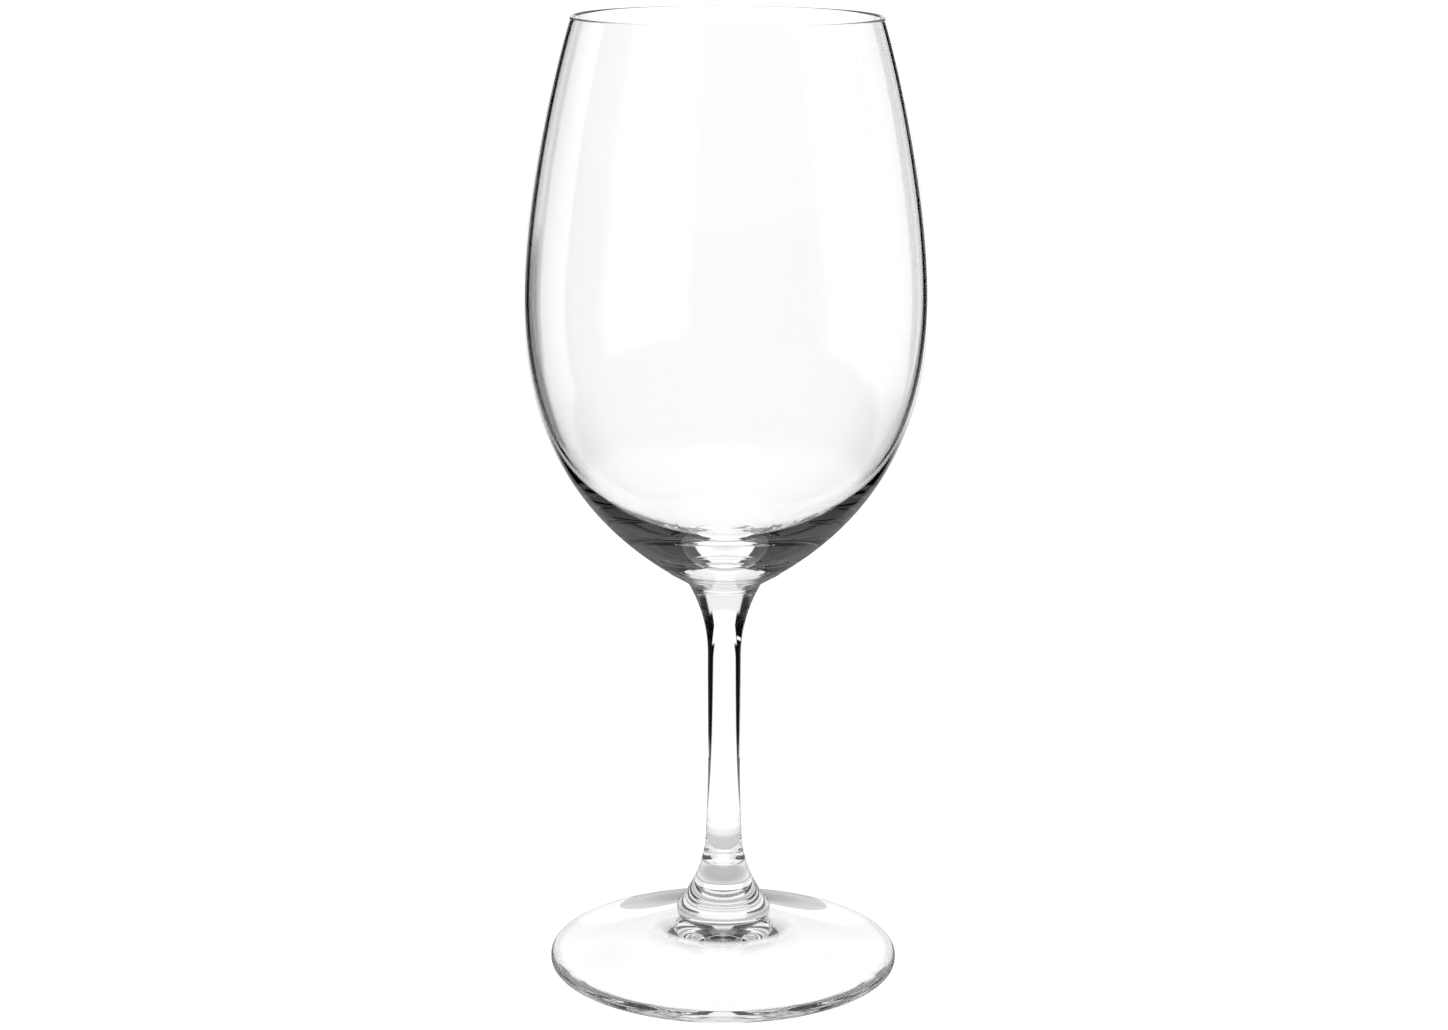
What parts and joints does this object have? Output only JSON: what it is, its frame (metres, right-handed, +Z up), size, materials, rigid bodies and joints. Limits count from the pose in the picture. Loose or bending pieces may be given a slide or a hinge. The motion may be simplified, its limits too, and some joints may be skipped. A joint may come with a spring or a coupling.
{
  "type": "wine glass",
  "caption": "Stemmed red wine glass: an egg-shaped bowl that closes in to its rim, a slim waisted stem flared at both ends, and a low conical foot with a rounded boss.",
  "frame": {"origin": "middle of the ring that the foot stands on, at table level", "axes": "+Z up along the glass's axis, from the foot to the rim; the glass is the same all round, so +X and +Y have no side of their own"},
  "size_m": [0.091, 0.091, 0.22],
  "materials": {
    "blown_bowl_glass": "fire-polished, thin and colourless",
    "drawn_stem_glass": "drawn smooth, solid and colourless",
    "pressed_foot_glass": "pressed and fire-polished, colourless with soft waves"
  },
  "bodies": {
    "root": {"bowl": "blown_bowl_glass", "stem": "drawn_stem_glass", "foot": "pressed_foot_glass"}
  },
  "joints": []
}
